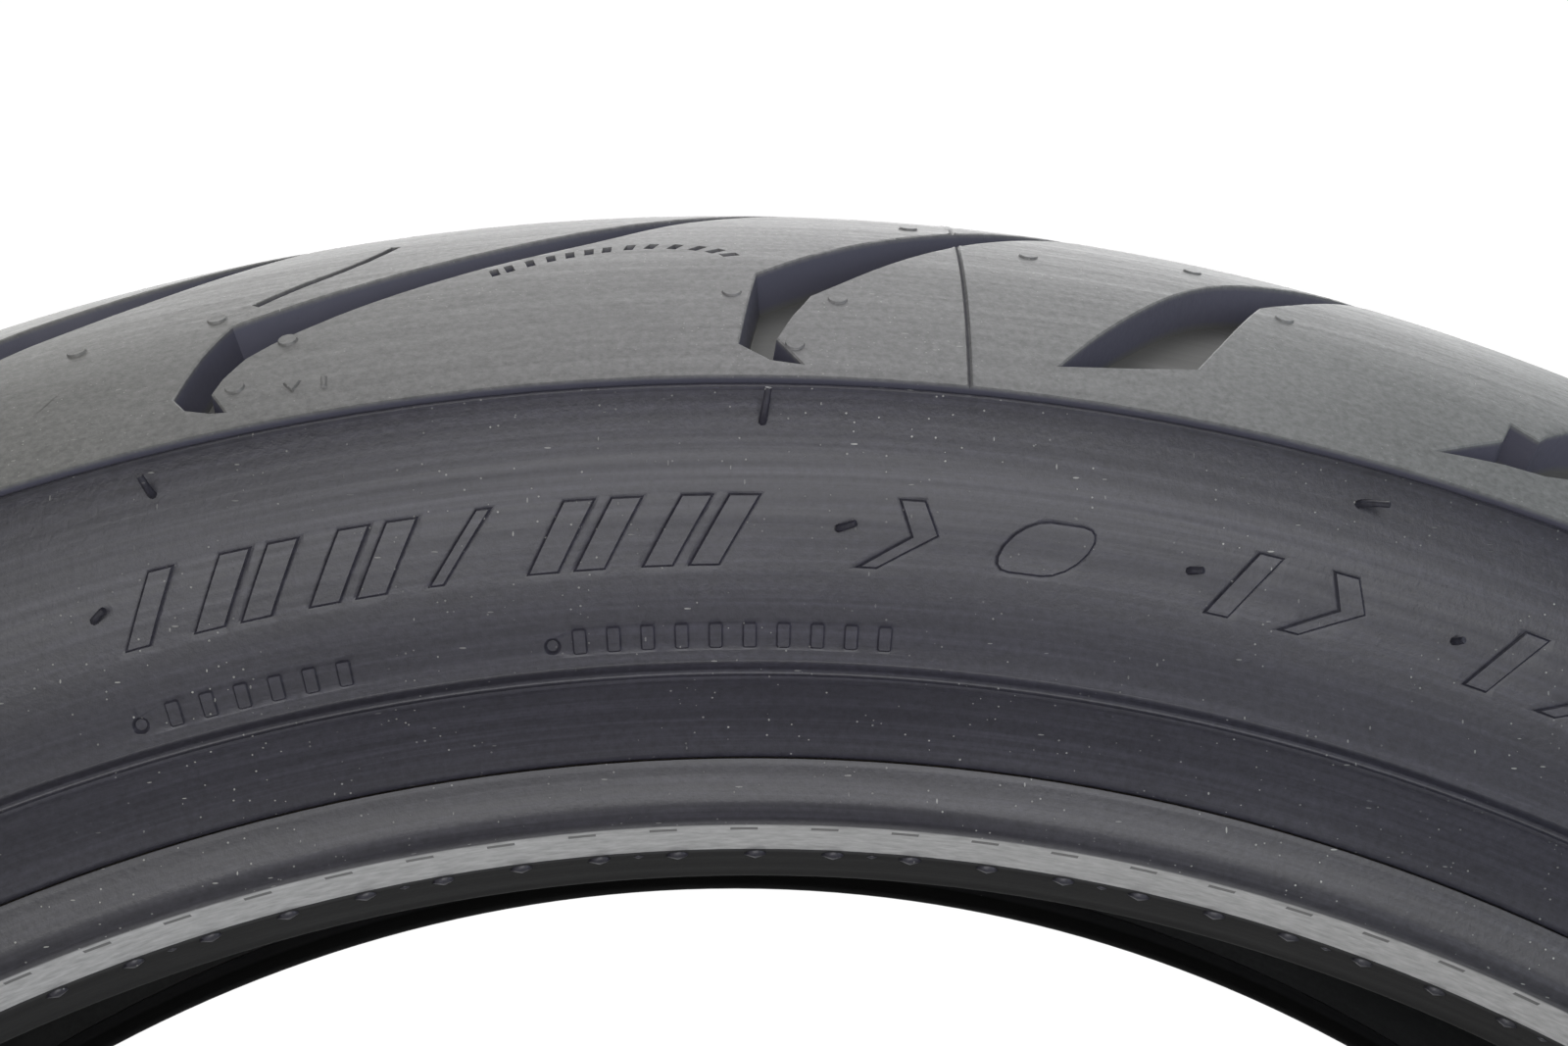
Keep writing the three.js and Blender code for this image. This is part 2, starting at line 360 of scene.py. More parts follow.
def dusty_rubber(name, dark, light, tint, dust, roughness, streaks):
    """Moulded rubber with cloudy tone, faint marks running round the tyre, grains of dust, and painted light
    that tints it from one side of the tyre to the other.
    """
    material, tree, shader = nodes_of(name, dark, roughness)
    place = object_place(tree)
    clouds = noise(tree, place, 0.012, 3.0)
    tone = ramp(tree, clouds, [(0.35, dark), (0.65, light)])
    tinted = ramp(tree, noise(tree, place, 0.006, 2.0), [(0.45, grey(0.0)), (0.7, grey(0.6))])
    tone = mix(tree, tinted, tone, tint)
    running = scaled(tree, around_the_axis(tree), (1.1, 1.1, 3.0))
    marks = ramp(tree, noise(tree, running, 1.0, 5.0, 0.65), [(0.45, grey(0.0)), (0.8, grey(1.0))])
    tone = mix(tree, maths(tree, "MULTIPLY", marks, streaks), tone, [min(1, 2.6 * c) for c in light])
    grain = noise(tree, place, 1.1, 3.0, 0.7)
    tone = mix(tree, 0.45, tone, ramp(tree, grain, [(0.3, grey(0.25)), (0.7, grey(0.78))]), "OVERLAY")
    fine = specks(tree, place, 0.95, dust, 3.0)
    fibres = specks(tree, scaled(tree, place, (0.25, 1.0, 1.0)), 0.8, dust * 0.25, 11.0)
    crossing = specks(tree, scaled(tree, place, (1.0, 1.0, 0.3)), 0.8, dust * 0.25, 23.0)
    scattered = maths(tree, "MAXIMUM", maths(tree, "MAXIMUM", fine, fibres), crossing)
    patchy = ramp(tree, noise(tree, place, 0.05, 4.0), [(0.42, grey(0.0)), (0.66, grey(0.9))])
    tone = mix(tree, maths(tree, "MULTIPLY", scattered, patchy), tone, (0.45, 0.45, 0.43))
    # painted light: the colour is multiplied by a tint across x, dimmer and warmer on the -x side and faintly
    # bluish on the +x side, as if a warm and a cool lamp lit the two sides
    sides = tree.nodes.new("ShaderNodeSeparateXYZ")
    link(tree, place, sides.inputs[0])
    painted_side_light = ramp(tree, between(tree, sides.outputs["X"], -110.0, 110.0),
                 [(0.0, (0.88, 0.88, 0.83)), (0.5, (1.0, 0.985, 1.0)), (1.0, (0.95, 1.0, 1.0))])
    tone = mix(tree, 1.0, tone, painted_side_light, "MULTIPLY")
    link(tree, tone, shader.inputs["Base Color"])
    rough = ramp(tree, noise(tree, running, 0.8, 4.0),
                 [(0.3, grey(roughness - 0.07)), (0.7, grey(roughness + 0.09))])
    link(tree, rough, shader.inputs["Roughness"])
    height = maths(tree, "ADD", maths(tree, "MULTIPLY", grain, 0.6), maths(tree, "MULTIPLY", scattered, 1.0))
    bump(tree, shader, height, 0.07)
    return material, tree, shader


def radius_of(tree):
    parts = tree.nodes.new("ShaderNodeSeparateXYZ")
    link(tree, around_the_axis(tree), parts.inputs[0])
    return parts.outputs


def between(tree, value, start, end):
    """Rises from 0 at start to 1 at end. start may be the larger of the two."""
    node = tree.nodes.new("ShaderNodeMapRange")
    node.inputs["From Min"].default_value = start
    node.inputs["From Max"].default_value = end
    link(tree, value, node.inputs["Value"])
    return node.outputs[0]


def tread_rubber():
    """Rubber that is dusty on the running surface; down in the grooves it loses the dust and is coloured
    darker and blue-black, as painted shade with a painted blue reflection on the walls.
    """
    material, tree, shader = dusty_rubber("tread_rubber", (0.165, 0.165, 0.165), (0.195, 0.195, 0.195),
                                          (0.2, 0.198, 0.19),
                                          0.5, 0.5, 0.08)
    radius, across, _ = radius_of(tree)
    rise = maths(tree, "SUBTRACT", radius, CROWN_CENTRE)
    squares = maths(tree, "ADD", maths(tree, "MULTIPLY", rise, rise), maths(tree, "MULTIPLY", across, across))
    arc = maths(tree, "SQRT", squares)
    # painted shade: below the land the colour turns darker, bluish on the groove walls as a painted
    # reflection and a little lighter on the groove floors
    groove_shade_mask = between(tree, arc, CROWN_ARC - 0.12, CROWN_ARC - 0.7)
    floor = between(tree, arc, CROWN_ARC - 4.6, CROWN_ARC - 5.6)
    groove_rubber_and_painted_shade = mix(tree, floor, (0.1, 0.1, 0.135), (0.13, 0.13, 0.125))
    dusty = shader.inputs["Base Color"].links[0].from_socket
    link(tree, mix(tree, groove_shade_mask, dusty, groove_rubber_and_painted_shade), shader.inputs["Base Color"])
    return material


def sidewall_rubber():
    return dusty_rubber("sidewall_rubber", (0.024, 0.023, 0.033), (0.034, 0.033, 0.045),
                        (0.034, 0.034, 0.03), 0.3, 0.36,
                        0.4)[0]


def bead_rubber():
    return dusty_rubber("bead_rubber", (0.022, 0.021, 0.03), (0.034, 0.033, 0.044),
                        (0.032, 0.032, 0.03), 0.3, 0.36, 0.4)[0]


def seat_rubber():
    """Bead rubber that is fabric-marked where it sits on the rim and painted pale there as light thrown up
    from the floor below, with a row of dark dashes.
    """
    material, tree, shader = dusty_rubber("seat_rubber", (0.026, 0.025, 0.033), (0.042, 0.041, 0.05),
                                          (0.04, 0.04, 0.034),
                                          0.3, 0.34, 0.4)
    radius, across, turn = radius_of(tree)
    # painted light: the seat band is coloured pale, standing in for light from the floor below, with the
    # fabric weave in it
    seat = between(tree, radius, 221.4, 221.25)
    weave = noise(tree, scaled(tree, around_the_axis(tree), (0.5, 1.2, 90.0)), 1.0, 3.0)
    seat_weave_and_painted_light = ramp(tree, weave, [(0.3, grey(0.27)), (0.7, grey(0.46))])
    steps = maths(tree, "FRACT", maths(tree, "MULTIPLY", turn, 144 / (2 * math.pi)))
    in_row = maths(tree, "MULTIPLY", between(tree, radius, 220.8, 220.85),
                   between(tree, radius, 221.1, 221.05))
    dash = maths(tree, "MULTIPLY", maths(tree, "LESS_THAN", steps, 0.34), in_row)
    seat_weave_and_painted_light = mix(tree, dash, seat_weave_and_painted_light, (0.05, 0.05, 0.05))
    before = shader.inputs["Base Color"].links[0].from_socket
    link(tree, mix(tree, seat, before, seat_weave_and_painted_light), shader.inputs["Base Color"])
    return material


def toe_rubber():
    """Dull rubber, painted almost black as shade where the toe faces the air inside, with weaker reflections
    there.
    """
    material, tree, shader = dusty_rubber("toe_rubber", (0.014, 0.014, 0.017), (0.02, 0.02, 0.023),
                                          (0.017, 0.017, 0.018),
                                          0.01, 0.7, 0.0)
    radius, _, _ = radius_of(tree)
    # painted shade: the toe's inner face is coloured almost black and given weaker reflections, where the
    # inside of the tyre lies in shade
    toe_inner_painted_shade = between(tree, radius, 218.9, 218.4)
    before = shader.inputs["Base Color"].links[0].from_socket
    link(tree, mix(tree, toe_inner_painted_shade, before, grey(0.006)), shader.inputs["Base Color"])
    link(tree, between(tree, toe_inner_painted_shade, 1.6, 0.1), shader.inputs["Specular IOR Level"])
    return material


def liner_rubber():
    return dusty_rubber("liner_rubber", (0.02, 0.02, 0.021), (0.028, 0.028, 0.029),
                        (0.024, 0.024, 0.025), 0.01, 0.6, 0.1)[0]


def base_rubber():
    material, tree, shader = nodes_of("base_rubber", (0.03, 0.03, 0.032), 0.8)
    grain = noise(tree, object_place(tree), 0.8)
    link(tree, ramp(tree, grain, [(0.3, grey(0.02)), (0.7, grey(0.045))]), shader.inputs["Base Color"])
    bump(tree, shader, grain, 0.1)
    return material


def cords(name, cord_colour, rubber_colour, around, across, metal, roughness):
    """Parallel cords in rubber. around and across set how many pass per turn and per millimetre."""
    material, tree, shader = nodes_of(name, cord_colour, roughness)
    turned = scaled(tree, around_the_axis(tree), (0, across, around))
    wave = tree.nodes.new("ShaderNodeTexWave")
    wave.inputs["Scale"].default_value = 1.0
    wave.bands_direction = "DIAGONAL"
    link(tree, turned, wave.inputs["Vector"])
    link(tree, mix(tree, wave.outputs["Fac"], rubber_colour, cord_colour), shader.inputs["Base Color"])
    shader.inputs["Metallic"].default_value = metal
    bump(tree, shader, wave.outputs["Fac"], 0.2)
    return material


# ------------------------------------------------------------------ tread grooves, on the flattened tread
# Points are (round the tyre, across it from the middle). Each run is smooth, and runs meet at corners.
LONG_GROOVE = outline(
    [(66.0, 90.1), (68.4, 89.5), (71.4, 87.9), (72.8, 85.1)],
    [(72.8, 85.1), (69.3, 76.6), (65.7, 69.9)],
    [(65.7, 69.9), (47.5, 62.5), (29.0, 53.4), (9.9, 40.6), (-6.0, 28.6), (-21.5, 16.0)],
    [(-21.5, 16.0), (-22.5, 18.2)],
    [(-22.5, 18.2), (-8.0, 30.6), (8.6, 44.9), (20.5, 56.0), (37.0, 64.8), (52.4, 72.6), (63.6, 79.5),
     (67.7, 85.7)],
    [(67.7, 85.7), (66.0, 90.1)],
)
MIDDLE_GROOVE = outline(
    [(-5.2, 91.0), (-0.8, 90.2), (3.2, 86.9)],
    [(3.2, 86.9), (1.9, 77.9), (0.6, 69.4)],
    [(0.6, 69.4), (-6.9, 62.1), (-21.5, 48.5), (-41.0, 29.5), (-55.0, 16.0)],
    [(-55.0, 16.0), (-57.4, 17.4)],
    [(-57.4, 17.4), (-47.8, 28.2), (-38.4, 39.6), (-24.9, 54.9), (-11.4, 70.4), (-6.5, 75.4)],
    [(-6.5, 75.4), (-4.1, 80.5), (-2.0, 85.8)],
    [(-2.0, 85.8), (-5.2, 91.0)],
)
WIDE_GROOVE = outline(
    [(-36.7, 87.3), (-46.9, 85.2), (-54.9, 82.8)],
    [(-54.9, 82.8), (-58.4, 75.2), (-64.6, 59.9)],
    [(-64.6, 59.9), (-70.9, 52.5), (-80.1, 39.4), (-96.8, 17.2)],
    [(-96.8, 17.2), (-94.4, 15.8)],
    [(-94.4, 15.8), (-72.0, 40.2), (-57.8, 55.2), (-46.6, 71.9), (-36.7, 87.3)],
)
HOOKED_GROOVE = outline(
    [(-84.8, 87.8), (-94.0, 80.6)],
    [(-94.0, 80.6), (-95.6, 75.2)],
    [(-95.6, 75.2), (-99.2, 77.2)],
    [(-99.2, 77.2), (-103.6, 71.6), (-118.0, 60.2), (-132.8, 49.8), (-147.0, 44.0), (-160.7, 37.0),
     (-171.0, 27.5),
     (-179.0, 15.5)],
    [(-179.0, 15.5), (-181.0, 17.5)],
    [(-181.0, 17.5), (-176.0, 28.0), (-167.5, 40.5), (-155.5, 50.6), (-144.0, 56.6), (-134.5, 60.6),
     (-124.0, 69.0),
     (-108.0, 81.5), (-99.5, 85.5)],
    [(-99.5, 85.5), (-94.2, 86.0), (-84.8, 87.8)],
)
GROOVE_DEPTH = 5.5
SIPE_PATH = [(62.9, 64.8), (57.6, 60.6), (52.9, 57.0), (49.6, 53.4), (47.5, 49.9), (46.0, 46.4)]
DIMPLE_PATH = [(33.0, 65.4), (26.0, 61.9), (19.0, 59.6), (13.4, 58.9), (7.6, 60.1), (3.6, 62.8), (1.6, 66.2)]
WEAR_MARK = [[(59.4, 86.4), (56.6, 86.4), (58.0, 89.0)],
             [(54.6, 86.4), (53.6, 86.4), (53.6, 89.0), (54.6, 89.0)]]
SEAM = -25.7  # where two parts of the mould met
VENTS = [(85.0, 66.5), (67.5, 66.9), (58.5, 77.0), (65.0, 85.4), (3.6, 74.8), (-9.6, 76.2), (-4.0, 86.9),
         (-20.0, 44.0), (-34.8, 55.0), (-57.0, 47.0), (-67.3, 62.4)]
LEFT_SHIFT = {"long": -0.5, "middle": -0.5, "wide": -0.5, "hooked": 0.5}
TREAD_CUT = [(100.0, TREAD_EDGE), (85.0, 75.0), (62.0, 50.0), (30.0, CENTRE_STRIP), (0.0, -CENTRE_STRIP),
             (45.0, -TREAD_EDGE)]


def on_left(points, shift=-0.5):
    """The same outline on the left half of the tread, half a unit on."""
    return [(p[0] + shift * UNIT_LENGTH, -p[1]) for p in points]


def thin_slot(path, width):
    """The outline of a narrow slot along a path."""
    line = [Vector(p) for p in curve_through(path, 4.0)]
    sides = [[], []]
    for i, point in enumerate(line):
        along = (line[min(i + 1, len(line) - 1)] - line[max(i - 1, 0)]).normalized()
        across = Vector((-along.y, along.x)) * width / 2
        sides[0].append(point + across)
        sides[1].append(point - across)
    return sides[0] + sides[1][::-1]


def dimples():
    """A row of short slanted pits along a curve."""
    line = curve_through(DIMPLE_PATH, 2.8)
    pits = []
    for point, after in zip(line, line[1:]):
        along = (after - point).normalized()
        across = Vector((-along.y, along.x))
        corners = ((-0.95, -1.1), (0.35, -1.1), (0.95, 1.1), (-0.35, 1.1))
        pits.append([point + along * a + across * c for a, c in corners])
    return pits


def tread_mouths(bm):
    shapes = {"long": LONG_GROOVE, "middle": MIDDLE_GROOVE, "wide": WIDE_GROOVE, "hooked": HOOKED_GROOVE}
    for name, shape in shapes.items():
        for points in (shape, on_left(shape, LEFT_SHIFT[name])):
            sink(bm, points, GROOVE_DEPTH, 0.6)
    sipe = thin_slot(SIPE_PATH, 1.6)
    for points in (sipe, on_left(sipe)):
        sink(bm, points, 1.6, 0.15, 0.12)
    for pit in dimples():
        for points in (pit, on_left(pit)):
            sink(bm, points, 1.0, 0.1, 0.05)
    for mark in WEAR_MARK:
        for points in (mark, on_left(mark)):
            raised(bm, [points], 0.05, 0.25, 0.15)


def on_crown(u, v, height):
    """Where a point of the flattened tread lies on the tyre."""
    turn = u / PATTERN_RADIUS
    across = v / CROWN_ARC
    arc = CROWN_ARC + height
    radius = CROWN_CENTRE + arc * math.cos(across)
    return Vector((-radius * math.sin(turn), -arc * math.sin(across), radius * math.cos(turn)))


def add_vents(bm):
    """Low round stubs where the mould was vented."""
    for u, v in VENTS:
        for place in ((u, v), on_left([(u, v)])[0]):
            bmesh.ops.create_cone(bm, cap_ends=True, segments=12, radius1=1.4, radius2=1.15, depth=0.5,
                                  matrix=Matrix.Translation((place[0], place[1], 0.0)))


def raise_seam(bm):
    """A fine ridge of flash across the tread."""
    for place in (SEAM, SEAM - 0.5 * UNIT_LENGTH):
        for side in (-0.75, -0.35, 0.0, 0.35, 0.75):
            cut_across(bm, 0, [place + side])
    for vert in bm.verts:
        on_land = abs(vert.co.z) < 1e-4
        away = abs(vert.co.x - (SEAM if vert.co.y > 0 else SEAM - 0.5 * UNIT_LENGTH))
        if on_land and away < 1e-3:
            vert.co.z = -0.45
        elif on_land and abs(away - 0.35) < 1e-3:
            vert.co.z = 0.12


def tread_sheet():
    bm = slab(TREAD_CUT, UNIT_LENGTH, TREAD_DEPTH, tread_mouths)
    step = UNIT_LENGTH / 32
    cut_across(bm, 0, [k * step for k in range(-33, 16)])
    rows = 32
    cut_across(bm, 1, [TREAD_EDGE * (2 * k / rows - 1) for k in range(1, rows)])
    raise_seam(bm)
    return bm


def tread(material):
    sheet = tread_sheet()
    parts = {
        "tread_shoulder_right": ((CENTRE_STRIP, None), "tread_cap_shoulder_right"),
        "tread_centre": ((-CENTRE_STRIP, CENTRE_STRIP), "tread_cap_centre"),
        "tread_shoulder_left": ((None, -CENTRE_STRIP), "tread_cap_shoulder_left"),
    }
    for name, ((low, high), node) in parts.items():
        bm = sheet.copy()
        keep_between(bm, low, high)
        if name != "tread_centre":
            wanted = 1 if low else -1
            stubs = bmesh.new()
            add_vents(stubs)
            for vert in [v for v in stubs.verts if v.co.y * wanted < 0]:
                stubs.verts.remove(vert)
            spare = bpy.data.meshes.new("stubs")
            stubs.to_mesh(spare)
            stubs.free()
            bm.from_mesh(spare)
        bend(bm, on_crown)
        repeat_round(bm, UNITS)
        add_piece(name, bm, material, "tread_rubber", [node], 35, True)
    sheet.free()


# ------------------------------------------------------------------ the outer section below the tread
SIDE_LINE = [(271.4, 79.0), (271.35, 80.0), (271.1, 80.5), (270.75, 80.7), (270.4, 80.45), (268.0, 80.6),
             (262.0, 80.4), (255.0, 79.3), (249.0, 77.8), (245.0, 76.4), (242.0, 75.1), (239.8, 74.3)]
SIDEWALL_THICKNESS = 3.2
SIDE_RADIUS = 257.0  # where a millimetre of the flattened sidewall is true round the tyre
SIDE_UNITS = 4
SIDE_LENGTH = 2 * math.pi * SIDE_RADIUS / SIDE_UNITS
side_curve = curve_through(SIDE_LINE, 1.0)
side_reach = [0.0]
for first, second in zip(side_curve, side_curve[1:]):
    side_reach.append(side_reach[-1] + (second - first).length)


def along_side(v):
    """The point (radius, y) and outward normal of the sidewall at a distance v below the tread's edge."""
    i = 0
    while i < len(side_reach) - 2 and side_reach[i + 1] < v:
        i += 1
    share = (v - side_reach[i]) / (side_reach[i + 1] - side_reach[i])
    point = side_curve[i].lerp(side_curve[i + 1], share)
    ahead = side_curve[min(i + 2, len(side_curve) - 1)] - side_curve[max(i - 1, 0)]
    ahead.normalize()
    return point, Vector((ahead.y, -ahead.x))


def reach_of(radius):
    """How far below the tread's edge the sidewall has a radius."""
    for (a, b), reach in zip(zip(side_curve[6:], side_curve[7:]), side_reach[6:]):
        if b.x <= radius:
            return reach + (a.x - radius)
    return side_reach[-1]


def on_sidewall(side):
    def place_of(u, v, height):
        point, normal = along_side(v)
        radius = point.x + normal.x * height
        y = point.y + normal.y * height
        turn = u / SIDE_RADIUS
        return Vector((-radius * math.sin(turn), side * y, radius * math.cos(turn)))
    return place_of


# Raised marks, as outlines of width and height in millimetres that lean over. They stand for no letters.
MARK_HEIGHT = 8.8
LEAN = 0.6


def leaning(points, x, foot, height=MARK_HEIGHT):
    """Places an outline, given in shares of its height, with its foot at a radius."""
    top = reach_of(foot)
    return [(-(x + height * (px + LEAN * py)), top - height * py) for px, py in points]


def rounded_box(x0, y0, x1, y1, corner):
    """A box with round corners, as shares of the mark's height."""
    points = []
    for cx, cy, start in ((x1 - corner, y0 + corner, -90), (x1 - corner, y1 - corner, 0),
                          (x0 + corner, y1 - corner, 90), (x0 + corner, y0 + corner, 180)):
        for k in range(5):
            a = math.radians(start + 22.5 * k)
            points.append((cx + corner * math.cos(a), cy + corner * math.sin(a)))
    return points


BAR = [[(0, 0), (0.42, 0), (0.42, 1), (0, 1)]]
STRIPE = [[(0, 0), (0.3, 0), (0.5, 1), (0.2, 1)]]
SPLIT = [[(0, 0), (0.5, 0), (0.5, 1), (0, 1)], [(0.62, 0), (1.12, 0), (1.12, 1), (0.62, 1)]]
CHEVRON = [[(0, 0), (0.42, 0), (0.95, 0.5), (0.42, 1), (0, 1), (0.5, 0.5)]]
LOZENGE = [rounded_box(0, 0.1, 1.2, 0.9, 0.38)]
SMALL_MARK = rounded_box(0, 0, 0.62, 1, 0.16)


def degrees_across(degrees):
    """How far round the flattened sidewall an angle is, counted clockwise from the top on the right side."""
    return math.radians(degrees) * SIDE_RADIUS


BIG_MARKS = [(-16.8, BAR), (-15.0, SPLIT), (-12.0, SPLIT), (-8.9, STRIPE), (-6.3, SPLIT), (-3.3, SPLIT),
             (2.2, CHEVRON), (5.6, LOZENGE), (11.6, BAR), (13.5, CHEVRON), (18.7, BAR),
             (20.6, CHEVRON), (23.6, SPLIT)]
SMALL_RUNS = [(-16.2, 6), (-5.2, 10)]
SMALL_HEIGHT = 3.5
DOTS = [-16.9, -5.7]


def raised(bm, loops, ditch, rise, slope):
    """A raised shape with a fine ditch round it. loops is its outline and any hole in it."""
    made = [loop_edges(bm, loop) for loop in loops]
    top = fill(bm, [e for _, edges in made for e in edges])
    for verts, _ in made[1:]:
        inner = bm.faces.new(verts)
        inner.normal_update()
        if inner.normal.z < 0:
            inner.normal_flip()
    for face in top:
        face.normal_update()
        if face.normal.z < 0:
            face.normal_flip()
    bmesh.ops.inset_region(bm, faces=top, thickness=slope, depth=-ditch, use_even_offset=True,
                           use_boundary=True)
    bmesh.ops.inset_region(bm, faces=top, thickness=slope, depth=ditch + rise, use_even_offset=True,
                           use_boundary=True)


def side_mouths(bm):
    for degrees, shape in BIG_MARKS:
        x = degrees_across(degrees)
        for loop in shape:
            raised(bm, [leaning(loop, x, 250.0)], 0.09, 0.22, 0.26)
    low = reach_of(240.9)
    for start, count in SMALL_RUNS:
        for k in range(count):
            x = degrees_across(start) + k * 4.15
            mark = [(-(x + SMALL_HEIGHT * px), low - SMALL_HEIGHT * py) for px, py in SMALL_MARK]
            raised(bm, [mark], 0.07, 0.16, 0.2)
    for degrees in DOTS:
        x = degrees_across(degrees)
        ring = [(-x + 1.1 * math.cos(a), low - 1.4 + 1.1 * math.sin(a))
                for a in (math.pi * k / 6 for k in range(12))]
        sink(bm, ring, 0.5, 0.3, 0.12)


def sidewall(word, side, material):
    end = side_reach[-1]
    half = SIDE_LENGTH / 2
    edge = [(half, 0.0), (half, end)]
    bm = slab(edge, SIDE_LENGTH, SIDEWALL_THICKNESS, side_mouths)
    step = SIDE_LENGTH / 64
    cut_across(bm, 0, [k * step for k in range(-31, 32)])
    steps = int((end - side_reach[6]) / 1.6)
    cut_across(bm, 1, side_reach[1:7] + [side_reach[6] + k * 1.6 for k in range(1, steps + 1)])
    bend(bm, on_sidewall(side))
    repeat_round(bm, SIDE_UNITS)
    return add_piece(f"sidewall_{word}", bm, material, "sidewall_rubber", [f"sidewall_{word}"], 35, True)


def hair(bm, angle, radius, side, lean, length, thick=0.55):
    """A thin rubber stub left by a vent of the mould, bent over a little."""
    point, normal = along_side(reach_of(radius))
    out = Vector((0, side * normal.y, normal.x)).normalized()
    tip = Vector((lean[0], 0, lean[1]))
    base = Vector((0, side * point.y, point.x)) - out * 0.4
    rings = []
    for k in range(6):
        share = k / 5
        centre = base + out * length * share + tip * length * share * share
        along = (out + tip * 2 * share).normalized()
        cross = along.cross(Vector((1, 0, 0.2))).normalized()
        other = along.cross(cross)
        width = thick * (1 - 0.25 * share)
        rings.append([bm.verts.new(centre + width * (math.cos(a) * cross + math.sin(a) * other))
                      for a in (2 * math.pi * j / 7 for j in range(7))])
    loops = [[bm.edges.new((r[j], r[(j + 1) % 7])) for j in range(7)] for r in rings]
    for low, high in zip(loops, loops[1:]):
        bmesh.ops.bridge_loops(bm, edges=low + high)
    for ring in (rings[0], rings[-1]):
        bm.faces.new(ring)
    verts = [v for r in rings for v in r]
    bmesh.ops.rotate(bm, verts=verts, cent=(0, 0, 0), matrix=Matrix.Rotation(math.radians(angle), 3, "Y"))


def hairs(word, side, material):
    bm = bmesh.new()
    shoulder = [-15.03 + 15 * k for k in range(24)]
    leans = {0: (-0.1, 0.5), 1: (0.15, 0.9), 2: (0.85, 0.05)}
    between_marks = [block + place for block in (0, 90, 180, 270)
                     for place in (-17.2, 1.94, 11.14, 18.25, 33.0, 48.0, 61.0)]
    for k, angle in enumerate(shoulder):
        lean = leans.get(k, (random.uniform(-0.6, 0.8), random.uniform(0.0, 0.5)))
        hair(bm, angle, 266.6, side, lean, random.uniform(3.2, 3.9))
    for angle in between_marks:
        lean = (random.uniform(0.0, 0.8), random.uniform(0.1, 0.6))
        hair(bm, angle, 254.6, side, lean, random.uniform(1.8, 2.6))
    add_piece(f"vent_hairs_{word}", bm, material, "sidewall_rubber", sharp=60)


# ------------------------------------------------------------------ bead
RIM_STRIP = [(239.8, 74.3), (239.3, 74.3), (239.0, 74.6), (238.7, 74.7), (238.45, 74.45), (238.15, 74.45),
             (237.9, 74.65), (237.6, 74.5), (237.2, 74.0), (235.5, 72.4), (233.5, 70.6), (231.5, 69.1),
             (230.2, 68.35), (229.45, 67.95), (229.2, 67.45)]
RIM_STRIP_BACK = [(229.2, 66.4), (231.0, 67.1), (239.8, 72.2)]
CHAFER = [(229.05, 66.9), (228.95, 67.3), (228.5, 67.3), (227.0, 66.95), (225.0, 66.65), (223.7, 66.4),
          (222.8, 65.9),
          (222.0, 65.1), (221.5, 64.3), (221.2, 63.6), (220.75, 62.2), (220.1, 60.0), (219.2, 57.0),
          (218.8, 55.6)]
CHAFER_BACK = [(219.9, 56.6), (220.6, 58.4), (221.4, 60.8), (222.3, 62.8), (223.6, 64.6), (226.0, 64.9),
               (229.05, 66.2)]
TOE = [(218.75, 55.5), (218.2, 54.6), (217.6, 53.6), (217.0, 52.5), (216.3, 51.2), (215.7, 50.3),
       (215.8, 49.8),
       (216.6, 50.1), (218.6, 52.2), (220.6, 55.3)]
TOE_BACK = [(219.8, 56.3)]


def bead(word, side, material, seat_material, toe_material):
    strip = curve_through(RIM_STRIP, 0.4) + [Vector(p) for p in RIM_STRIP_BACK]
    add_piece(f"rim_strip_{word}", turned_ring(strip, 320, side), material, "bead_rubber",
              [f"rim_strip_{word}"], 50)
    seat = curve_through(CHAFER, 0.5) + [Vector(p) for p in CHAFER_BACK]
    add_piece(f"chafer_{word}", turned_ring(seat, 320, side), seat_material, "bead_rubber",
              [f"chafer_{word}"], 50)
    toe = curve_through(TOE, 0.4) + [Vector(p) for p in TOE_BACK]
    add_piece(f"bead_toe_{word}", turned_ring(toe, 320, side), toe_material, "bead_rubber",
              [f"bead_toe_{word}"], 50)
    bm = bmesh.new()
    for k in range(144):
        add_nub(bm, 2.5 * k, side, 1.0)
        if k % 3 == 1:
            add_nub(bm, 2.5 * k + 1.25, side, 0.5)
    add_piece(f"toe_nubs_{word}", bm, material, "bead_rubber", sharp=70)


def add_nub(bm, angle, side, size):
    """A small drop of rubber left on the toe by a mould vent."""
    made = bmesh.ops.create_icosphere(bm, subdivisions=1, radius=0.85 * size)
    bmesh.ops.scale(bm, vec=(1.9, 0.8, 0.9), verts=made["verts"])
    bmesh.ops.translate(bm, vec=(0, side * 54.7, 218.45), verts=made["verts"])
    turn = Matrix.Rotation(math.radians(angle), 3, "Y")
    bmesh.ops.rotate(bm, verts=made["verts"], cent=(0, 0, 0), matrix=turn)


# ------------------------------------------------------------------ layers inside
INNER_ARC = 88.4
LINER = (0.0, 1.0)
PLY_OUTER = (2.5, 3.4)
BELT = (3.7, 4.7)
BASE = (5.0, 5.8)
crown_angles = [EDGE_ANGLE * k / 12 for k in range(13)]
inner_crown = arc_section(INNER_ARC, crown_angles)
INNER_SIDE = [(258.0, 72.6), (250.0, 72.2), (238.0, 66.4), (228.0, 58.8), (220.8, 55.4)]
inner_side = [tuple(p) for p in curve_through([inner_crown[-1], *INNER_SIDE], 3.0)]
inner_face = inner_crown + inner_side[1:]
to_mid_sidewall = [p for p in inner_face if p[0] > 249]
to_bead = [p for p in inner_face if p[0] > 227.5]
TURN_UP = [(221.6, 58.6), (222.4, 61.2), (223.4, 63.4), (226.0, 64.15), (231.0, 66.2), (240.0, 72.0)]


